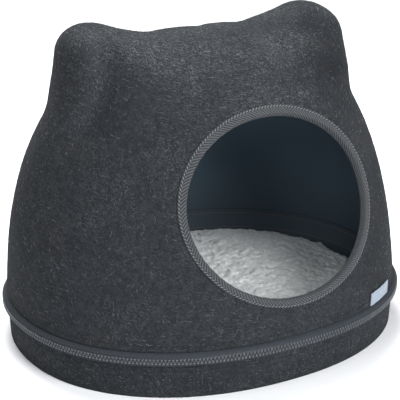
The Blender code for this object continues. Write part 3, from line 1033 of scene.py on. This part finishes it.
def fibre_model(length, sway, bow):
    def lay(along, across):
        place, turn = 2 * along - 1, across * 2 * math.pi
        thick = FIBRE_ROUND * np.sqrt(np.clip(1 - place ** 4, 0, 1))
        aside = sway * length * place ** 2 + thick * np.cos(turn)
        proud = FIBRE_ROUND * 0.6 + bow * length * place ** 2 + thick * np.sin(turn)
        return np.column_stack([aside, proud, place * length / 2])

    return plain_grid("fibre", 5, 3, lay)


# %% Strew the fibres
BED_HEART, FACING, FLOOR_KEEP = (0, 0, 0.12), 0.25, 0.004
PAINTED_LIGHT_GAIN, TOP_LIGHT_GAIN, COMB_SPREAD, FIBRE_SHIFT = 0.6, 1.8, 0.75, 0.001


def outer_faces(piece):
    """Centres, normals and areas of the faces that look outwards."""
    faces = piece.data.polygons
    # operators may number the faces differently on each run, but never the points
    order = sorted(range(len(faces)), key=lambda which: sorted(faces[which].vertices))
    centres, normals = read(faces, "center")[order], read(faces, "normal")[order]
    areas = read(faces, "area", 1)[order]
    out = centres - BED_HEART
    keep = (out * normals).sum(1) > FACING * np.linalg.norm(out, axis=1)
    keep &= centres[:, 2] > FLOOR_KEEP
    return centres[keep], normals[keep], areas[keep, 0]


def strewn_fibres(name, piece, number, seed, size=1.0):
    chance = np.random.default_rng(seed)
    centres, normals, areas = outer_faces(piece)
    # pale fibres are strewn thicker on painted light and where the felt faces up, and thinner in
    # painted shade
    painted_light_and_shade = np.maximum(1 + PAINTED_LIGHT_GAIN * light_and_shade_marks(centres - UP * HOOD_EDGE), 0.1)
    clumped = np.clip(0.85 + 1.6 * bumpy(centres, CLUMP_SIZE), 0.15, 2.2)
    share = areas * (1 + TOP_LIGHT_GAIN * facing_up(normals)) * painted_light_and_shade * clumped
    sets = []
    for length, sway, bow in FIBRE_SHAPES:
        picked = chance.choice(len(areas), number, p=share / share.sum())
        outs = normals[picked]
        around = np.cross(UP, outs)
        around /= np.maximum(np.linalg.norm(around, axis=1), 1e-6)[:, None]
        combed = bumpy(centres[picked], COMBED_SIZE)
        turn = (combed + chance.normal(0.0, COMB_SPREAD, number))[:, None]
        ups = around * np.cos(turn) + np.cross(outs, around) * np.sin(turn)
        shift = chance.uniform(-FIBRE_SHIFT, FIBRE_SHIFT, (number, 1)) * ups
        model = fibre_model(length * size, sway, bow)
        sets.append(joined_copies(name, model, centres[picked] + shift, outs, ups))
    fibres = joined(name, *sets)
    smooth(fibres, 90)
    return fibres


hood_fibres = strewn_fibres("hood_fibres", hood, 1300, 11)
tray_fibres = strewn_fibres("tray_fibres", tray, 260, 12, 0.75)
print("fibre faces:", len(hood_fibres.data.polygons) + len(tray_fibres.data.polygons))

# %% [markdown]
# # Finishes
# A finish is a Principled BSDF fed by patterns. What several finishes share is built once as
# a node group with named inputs and outputs. Sheen and the like are the same all over, so
# they are set on the shader itself.

# %% Helpers for node trees
def add_node(tree, kind, **settings):
    made = tree.nodes.new(kind)
    for name, value in settings.items():
        setattr(made, name, value)
    return made


def plug(tree, socket, value):
    """Links another node's output to a socket, or sets the socket's own value."""
    if isinstance(value, bpy.types.NodeSocket):
        tree.links.new(value, socket)
    else:
        socket.default_value = value


def feed(tree, target, *values):
    """Plugs values into the first sockets of a node, in order."""
    for socket, value in zip(target.inputs, values):
        plug(tree, socket, value)
    return target


def math_node(tree, operation, *values):
    return feed(tree, add_node(tree, "ShaderNodeMath", operation=operation), *values).outputs[0]


def vector_node(tree, operation, *values):
    made = add_node(tree, "ShaderNodeVectorMath", operation=operation)
    return feed(tree, made, *values).outputs[0]


def place_in(tree, kind="Object"):
    """Where on the piece the shader is: in metres, or on its UV map."""
    return add_node(tree, "ShaderNodeTexCoord").outputs[kind]


def split_place(tree, kind="Object"):
    return feed(tree, add_node(tree, "ShaderNodeSeparateXYZ"), place_in(tree, kind)).outputs


def stored(tree, name):
    """A value that the piece's points carry under a name."""
    return add_node(tree, "ShaderNodeAttribute", attribute_name=name).outputs["Fac"]


def noise_node(tree, place, scale, detail=3.0, roughness=0.5, distortion=0.0):
    made = add_node(tree, "ShaderNodeTexNoise")
    for name, value in (("Vector", place), ("Scale", scale), ("Detail", detail),
                        ("Roughness", roughness), ("Distortion", distortion)):
        plug(tree, made.inputs[name], value)
    return made.outputs["Fac"]


def step_between(tree, value, low, high):
    made = add_node(tree, "ShaderNodeMapRange", interpolation_type="SMOOTHSTEP")
    return feed(tree, made, value, low, high).outputs["Result"]


def mix_colour(tree, share, first, second):
    made = add_node(tree, "ShaderNodeMix", data_type="RGBA")
    for name, value in (("Factor", share), ("A", first), ("B", second)):
        socket = next(s for s in made.inputs if s.name == name and s.enabled)
        plug(tree, socket, (*value, 1.0) if isinstance(value, tuple) else value)
    return next(s for s in made.outputs if s.enabled)


def new_group(name, inputs, outputs):
    tree = bpy.data.node_groups.new(name, "ShaderNodeTree")
    for label, value in inputs:
        socket = tree.interface.new_socket(label, in_out="INPUT", socket_type="NodeSocketFloat")
        socket.default_value = value
    for label in outputs:
        tree.interface.new_socket(label, in_out="OUTPUT", socket_type="NodeSocketFloat")
    return tree, add_node(tree, "NodeGroupInput"), add_node(tree, "NodeGroupOutput")


def use_group(tree, group, **values):
    made = add_node(tree, "ShaderNodeGroup", node_tree=group)
    for name, value in values.items():
        made.inputs[name.replace("_", " ")].default_value = value
    return made


# %% [markdown]
# ### Fibres
# Felt is a mat of short fibres of several greys. The pale ones show as fine streaks: a noise
# pulled long in one direction gives them, and three such noises, each turned another way, are
# strong in patches of their own. Between them the ground is mottled, and faint clouds show
# where the fibres lie thicker.

# %% Build the fibre group
STREAK_PULL, PATCH_APART, PATCH_SCALE = 0.16, 1.7, 17.0
STREAK_TURNS = ((0.2, 0.3, 0.0), (0.3, 1.2, 0.5), (1.3, 0.4, 1.1))


def build_fibres():
    tree, given, made = new_group(
        "Felted Fibres",
        [("Fibre Scale", 800.0), ("Fleck Scale", 400.0), ("Cloud Scale", 26.0)],
        ["Fibres", "Flecks", "Clouds", "Height"])
    place = place_in(tree)
    strands = []
    for which, turn in enumerate(STREAK_TURNS):
        turned = add_node(tree, "ShaderNodeVectorRotate", rotation_type="EULER_XYZ")
        plug(tree, turned.inputs["Vector"], place)
        plug(tree, turned.inputs["Rotation"], turn)
        pulled = vector_node(tree, "MULTIPLY", turned.outputs[0], (1.0, 1.0, STREAK_PULL))
        streak = noise_node(tree, pulled, given.outputs["Fibre Scale"], 2.0, 0.6, 0.4)
        apart = vector_node(tree, "ADD", place, (which * PATCH_APART,) * 3)
        patch = step_between(tree, noise_node(tree, apart, PATCH_SCALE, 1.0), 0.40, 0.58)
        faded = math_node(tree, "MULTIPLY_ADD", patch, 0.75, 0.25)
        strands.append(math_node(tree, "MULTIPLY", step_between(tree, streak, 0.54, 0.70), faded))
    fibres = math_node(tree, "MAXIMUM", math_node(tree, "MAXIMUM", *strands[:2]), strands[2])
    fleck = noise_node(tree, place, given.outputs["Fleck Scale"], 4.0, 0.65)
    flecks = step_between(tree, fleck, 0.40, 0.74)
    clouds = noise_node(tree, place, given.outputs["Cloud Scale"], 4.0, 0.6, 0.4)
    height = math_node(tree, "ADD", math_node(tree, "MULTIPLY", fibres, 0.6), fleck)
    feed(tree, made, fibres, flecks, clouds, height)
    return tree


fibre_group = build_fibres()

# %% [markdown]
# ### Woven threads
# A tape's threads pass over and under each other. Two sine waves, one along and one across
# the tape's own UV map, multiply into that little chequer of hills.

# %% Build the weave group
def build_weave():
    tree, given, made = new_group(
        "Woven Threads", [("Along", 1400.0), ("Across", 1400.0)], ["Height", "Slub"])
    waves = []
    for place, count in zip(split_place(tree, "UV"), ("Along", "Across")):
        threads = math_node(tree, "MULTIPLY", place, given.outputs[count])
        waves.append(math_node(tree, "SINE", math_node(tree, "MULTIPLY", threads, 2 * math.pi)))
    chequer = math_node(tree, "MULTIPLY", *waves)
    height = math_node(tree, "MULTIPLY_ADD", chequer, 0.5, 0.5)
    slub = noise_node(tree, place_in(tree), 420.0, 4.0, 0.65)
    feed(tree, made, height, slub)
    return tree


weave_group = build_weave()

# %% [markdown]
# ### The finishes themselves
# Every finish below starts from a blank shader, wires its groups into colour, roughness and
# bump, and sets its own sheen.

# %% A blank shader and a bump
def blank(name, roughness, sheen=0.0, metallic=0.0, specular=0.3):
    made = bpy.data.materials.new(name)
    made.use_nodes = True
    tree = made.node_tree
    shader = tree.nodes["Principled BSDF"]
    for name, value in (("Roughness", roughness), ("Metallic", metallic),
                        ("Specular IOR Level", specular), ("Sheen Weight", sheen),
                        ("Sheen Roughness", 0.6)):
        plug(tree, shader.inputs[name], value)
    return made, tree, shader


def paint_it(tree, shader, share, first, second):
    """Colours the finish between two colours, by the share of the second one."""
    plug(tree, shader.inputs["Base Color"], mix_colour(tree, share, first, second))


def add_bump(tree, shader, height, distance, strength):
    bump = add_node(tree, "ShaderNodeBump")
    for name, value in (("Strength", strength), ("Distance", distance), ("Height", height)):
        plug(tree, bump.inputs[name], value)
    plug(tree, shader.inputs["Normal"], bump.outputs[0])


# %% Charcoal felt
COOL_FELT, WARM_FELT = (0.0148, 0.0173, 0.0199), (0.0159, 0.0171, 0.0199)
PALE_FIBRE = (0.106, 0.115, 0.125)
# the lining's lightness is painted light inside the bed, and its darker low part is painted shade
SHADED_LINING, LIT_LINING = (0.062, 0.085, 0.100), (0.130, 0.186, 0.236)


def charcoal_felt():
    made, tree, shader = blank("charcoal felt", 0.95, sheen=0.02, specular=0.05)
    fibres = use_group(tree, fibre_group)
    clouds = fibres.outputs["Clouds"]
    ground = mix_colour(tree, step_between(tree, clouds, 0.42, 0.60), COOL_FELT, WARM_FELT)
    # painted light and shade: the stored marks make the felt lighter or darker along their lines,
    # and the pale strands grow denser on the lit marks and where the felt faces up, as painted top
    # light
    painted_marks = stored(tree, "painted_light_and_shade")
    place = place_in(tree)
    blotch = step_between(tree, noise_node(tree, place, 130.0, 3.0, 0.6), 0.36, 0.64)
    mottle_and_painted_light = math_node(tree, "MULTIPLY_ADD", fibres.outputs["Flecks"], 0.14,
                       math_node(tree, "MULTIPLY_ADD", painted_marks, 0.07,
                                 math_node(tree, "MULTIPLY_ADD", blotch, 0.07, -0.011)))
    mottled_and_painted = mix_colour(tree, mottle_and_painted_light, ground, PALE_FIBRE)
    painted_light_and_shade = math_node(tree, "MULTIPLY_ADD", painted_marks, 0.5,
                        math_node(tree, "MULTIPLY_ADD", stored(tree, "crown"), 1.10, 0.64))
    patch = math_node(tree, "MULTIPLY_ADD", step_between(tree, clouds, 0.30, 0.70), 0.35, 0.32)
    share = math_node(tree, "MULTIPLY", patch, painted_light_and_shade)
    strand = math_node(tree, "MULTIPLY", fibres.outputs["Fibres"], share)
    paint_it(tree, shader, strand, mottled_and_painted, PALE_FIBRE)
    add_bump(tree, shader, fibres.outputs["Height"], 0.0008, 0.7)
    return made


def felt_lining_painted_light():
    """The hood's inner face, far lighter than the felt outside as painted light, and darker towards
    the tray as painted shade.
    """
    made, tree, shader = blank("felt lining with painted light and shade", 0.9, specular=0.1)
    fibres = use_group(tree, fibre_group)
    rise = split_place(tree)[2]
    height = math_node(tree, "MULTIPLY_ADD", fibres.outputs["Flecks"], 0.012, rise)
    paint_it(tree, shader, step_between(tree, height, 0.02, 0.15), SHADED_LINING, LIT_LINING)
    add_bump(tree, shader, fibres.outputs["Height"], 0.0004, 0.5)
    return made


# %% Tapes and ribbon
# threads a metre along and across, and how deep the weave is
TAPE_WEAVE, SATIN_WEAVE = (1300, 1300, 0.00012), (900, 2600, 0.00006)


def woven(name, dark, pale, along, across, depth, sheen, roughness=0.8, specular=0.1):
    made, tree, shader = blank(name, roughness, sheen=sheen, specular=specular)
    weave = use_group(tree, weave_group, Along=along, Across=across)
    shade = math_node(tree, "MULTIPLY_ADD", weave.outputs["Slub"], 0.8,
                      math_node(tree, "MULTIPLY", weave.outputs["Height"], 0.35))
    paint_it(tree, shader, step_between(tree, shade, 0.25, 0.95), dark, pale)
    add_bump(tree, shader, weave.outputs["Height"], depth, 0.7)
    return made


def herringbone_tape():
    """The ribs are in the mesh; the same slant is painted in colour too, pale on the crests as
    painted light and dark in the valleys as painted shade.
    """
    made, tree, shader = blank("herringbone tape", 0.85, sheen=0.04, specular=0.1)
    along, across, _ = split_place(tree, "UV")
    lean = math_node(tree, "ABSOLUTE", math_node(tree, "SUBTRACT", across, RIB_SPINE))
    ribs = math_node(tree, "MULTIPLY_ADD", along, RIB_COUNT / DOOR_LENGTH,
                     math_node(tree, "MULTIPLY", lean, RIB_SLANT / RIB_PITCH))
    wave = math_node(tree, "COSINE", math_node(tree, "MULTIPLY", ribs, 2 * math.pi))
    fibres = use_group(tree, fibre_group, Fleck_Scale=520.0)
    shade = math_node(tree, "MULTIPLY_ADD", fibres.outputs["Flecks"], 0.8, wave)
    # painted light on the rib crests and painted shade in their valleys
    paint_it(tree, shader, step_between(tree, shade, -0.7, 1.5), (0.028, 0.0303, 0.0330),
             (0.082, 0.0885, 0.0952))
    add_bump(tree, shader, math_node(tree, "ADD", wave, fibres.outputs["Height"]), 0.0002, 0.8)
    return made


# %% Teeth and metal
def moulded_teeth():
    """Each tooth has its own tone; the corded edges behind them have none, and are dark."""
    made, tree, shader = blank("moulded teeth", 0.42, specular=0.45)
    tone = stored(tree, "tone")
    place = place_in(tree)
    scuff = noise_node(tree, place, 900.0, 3.0, 0.7)
    shade = math_node(tree, "MULTIPLY_ADD", tone, 0.4, math_node(tree, "MULTIPLY", scuff, 0.6))
    tooth = mix_colour(tree, shade, (0.050, 0.055, 0.063), (0.088, 0.096, 0.108))
    is_tooth = math_node(tree, "GREATER_THAN", tone, 0.0)
    paint_it(tree, shader, is_tooth, (0.024, 0.027, 0.032), tooth)
    plug(tree, shader.inputs["Roughness"], math_node(tree, "MULTIPLY_ADD", scuff, 0.3, 0.28))
    add_bump(tree, shader, scuff, 0.00005, 0.5)
    return made


def slider_metal():
    made, tree, shader = blank("slider metal", 0.38, metallic=0.85, specular=0.5)
    place = place_in(tree)
    wear = step_between(tree, noise_node(tree, place, 350.0, 5.0, 0.7), 0.55, 0.75)
    paint_it(tree, shader, wear, (0.085, 0.087, 0.092), (0.20, 0.20, 0.205))
    plug(tree, shader.inputs["Roughness"], math_node(tree, "MULTIPLY_ADD", wear, -0.12, 0.42))
    add_bump(tree, shader, noise_node(tree, place, 1500.0, 2.0), 0.00004, 0.4)
    return made


# %% Fleece
def pale_fleece():
    made, tree, shader = blank("pale fleece", 0.98, sheen=0.35, specular=0.1)
    fibres = use_group(tree, fibre_group, Fibre_Scale=420.0, Fleck_Scale=240.0, Cloud_Scale=22.0)
    deep = mix_colour(tree, fibres.outputs["Flecks"], (0.63, 0.645, 0.65), (0.86, 0.88, 0.885))
    curl = math_node(tree, "MULTIPLY", fibres.outputs["Fibres"], 0.5)
    paint_it(tree, shader, curl, deep, (0.93, 0.95, 0.955))
    add_bump(tree, shader, fibres.outputs["Height"], 0.0016, 0.9)
    return made


# %% Thread
def thread(name, colour):
    made, tree, shader = blank(name, 0.8, sheen=0.02, specular=0.08)
    place = place_in(tree)
    ply = noise_node(tree, place, 1600.0, 2.0)
    paint_it(tree, shader, ply, tuple(c * 0.7 for c in colour), colour)
    add_bump(tree, shader, ply, 0.0001, 0.6)
    return made


# %% Loose fibre
def loose_fibre():
    made, tree, shader = blank("loose fibre", 0.6, sheen=0.1, specular=0.25)
    tone = stored(tree, "tone")
    paint_it(tree, shader, tone, (0.030, 0.034, 0.038), (0.185, 0.197, 0.208))
    return made


# %% [markdown]
# ## Dressing the bed
# Every piece now gets its finish, rides on the bed's one body, and hides the plain solid that
# it stands for.

# %% Dress every piece
def line_inside(piece, lining):
    """Gives the faces that look towards the bed's middle another finish."""
    faces = piece.data.polygons
    level, facing = read(faces, "center")[:, :2], read(faces, "normal")[:, :2]
    inwards = -(level * facing).sum(1) > FACING * np.linalg.norm(level, axis=1)
    piece.data.materials.append(lining)
    faces.foreach_set("material_index", inwards.astype(np.int32))


def dress(piece, finish, slot, *nodes):
    if piece.data.materials:
        piece.data.materials[0] = finish
    else:
        piece.data.materials.append(finish)
    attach(piece, "root")
    if nodes:
        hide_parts(*nodes)


felt = charcoal_felt()
dress(hood, felt, "charcoal_felt", "dome")
# the hood's inner faces and the tray's inner wall take the lining with painted light and shade
pressed = felt_lining_painted_light()
hood.data.materials[1] = pressed
dress(tray, felt, "charcoal_felt", "base_tray")
line_inside(tray, pressed)
dress(binding, herringbone_tape(), "herringbone_tape", "entrance_binding")
slate = woven("slate tape", (0.026, 0.030, 0.036), (0.046, 0.053, 0.062), *TAPE_WEAVE,
              sheen=0.02)
dress(upper_tape, slate, "zip_tape", "zip_tape_upper")
dress(lower_tape, slate, "zip_tape", "zip_tape_lower")
# the tapes' inner sides, the teeth's inner faces and the zip guard are painted far lighter than the
# slate outside: painted light inside the bed
lit_inside_slate = woven("slate tape, inner side with painted light", (0.072, 0.096, 0.118), (0.090, 0.118, 0.142),
                   *TAPE_WEAVE, sheen=0.0)
line_inside(upper_tape, lit_inside_slate)
line_inside(lower_tape, lit_inside_slate)
dress(teeth, moulded_teeth(), "zip_teeth", "zip_chain")
line_inside(teeth, lit_inside_slate)
metal = slider_metal()
dress(slider, metal, "slider_metal", "zip_slider")
dress(pull, metal, "slider_metal", "zip_pull")
dress(cushion, pale_fleece(), "pale_fleece", "cushion")
satin = woven("pale blue satin", (0.15, 0.195, 0.25), (0.35, 0.40, 0.475), *SATIN_WEAVE,
              sheen=0.05, roughness=0.45, specular=0.25)
dress(label, satin, "blue_ribbon", "label_tab")
dark_thread = thread("charcoal thread", (0.017, 0.019, 0.022))
dress(hood_stitches, dark_thread, "zip_tape")
fibre = loose_fibre()
dress(hood_fibres, fibre, "charcoal_felt")
dress(tray_fibres, fibre, "charcoal_felt")
dress(tray_stitches, dark_thread, "zip_tape")
dress(binding_stitches, thread("grey thread", (0.24, 0.25, 0.26)), "herringbone_tape")
rusty_thread = thread("rusty thread", (0.34, 0.20, 0.17))
dress(guard, lit_inside_slate, "zip_tape")
dress(guard_seam, rusty_thread, "zip_tape")
dress(guard_hem, rusty_thread, "zip_tape")

# %% [markdown]

# %% [markdown]
# ## The studio
# A white floor in a dark room, with four round soft boxes. The widest stands behind and lights
# the floor and the ears from above, the next one lights the front, and two weak ones fill in the
# left side and the top. The camera stands at the front left, a little above the bed.

# %% Floor, lights and camera
FLOOR_SIZE, BED_MIDDLE = 30.0, (0, 0, 0.15)
deselect()
bpy.ops.mesh.primitive_plane_add(size=FLOOR_SIZE, location=(0, 0, 0))
floor = named("studio_floor")
paint, paint_tree, paint_shader = blank("white paint", 0.9, specular=0.1)
speckle = noise_node(paint_tree, place_in(paint_tree), 40.0)
paint_it(paint_tree, paint_shader, speckle, (0.925, 0.94, 0.965), (0.945, 0.96, 0.985))
floor.data.materials.append(paint)


def soft_light(name, place, aim, size, power):
    bpy.ops.object.light_add(type="AREA", location=place)
    lamp = bpy.context.object
    lamp.name = name
    lamp.data.shape, lamp.data.size, lamp.data.energy = "DISK", size, power
    lamp.rotation_euler = (Vector(aim) - Vector(place)).to_track_quat("-Z", "Y").to_euler()


deselect()
soft_light("front softbox", (0.34, -1.96, 1.2), BED_MIDDLE, 1.3, 58)
soft_light("left softbox", (-1.2, -1.6, 1.4), BED_MIDDLE, 1.0, 13)
soft_light("top softbox", (-0.9, -0.3, 1.9), BED_MIDDLE, 1.2, 12)
soft_light("back softbox", (0.2, 1.2, 2.2), (0, 0.4, 0), 1.6, 97)
room = bpy.data.worlds.new("dark room")
room.use_nodes = True
room.node_tree.nodes["Background"].inputs["Strength"].default_value = 0.0
bpy.context.scene.world = room
bpy.context.scene.view_settings.view_transform = "Standard"

CAMERA_PLACE, CAMERA_TURN, LENS = (-0.6377, -1.1152, 0.5963), (1.2305, 0.0, -0.5172), 108.5
bpy.ops.object.camera_add(location=CAMERA_PLACE, rotation=CAMERA_TURN)
camera = bpy.context.object
camera.data.lens, camera.data.sensor_width = LENS, 36
camera.data.clip_end = 60
bpy.context.scene.camera = camera

# %% [markdown]
# ## The last line
# The scene is brought up to date, so every piece stands where it was put.

# %% Bring the scene up to date
bpy.context.view_layer.update()
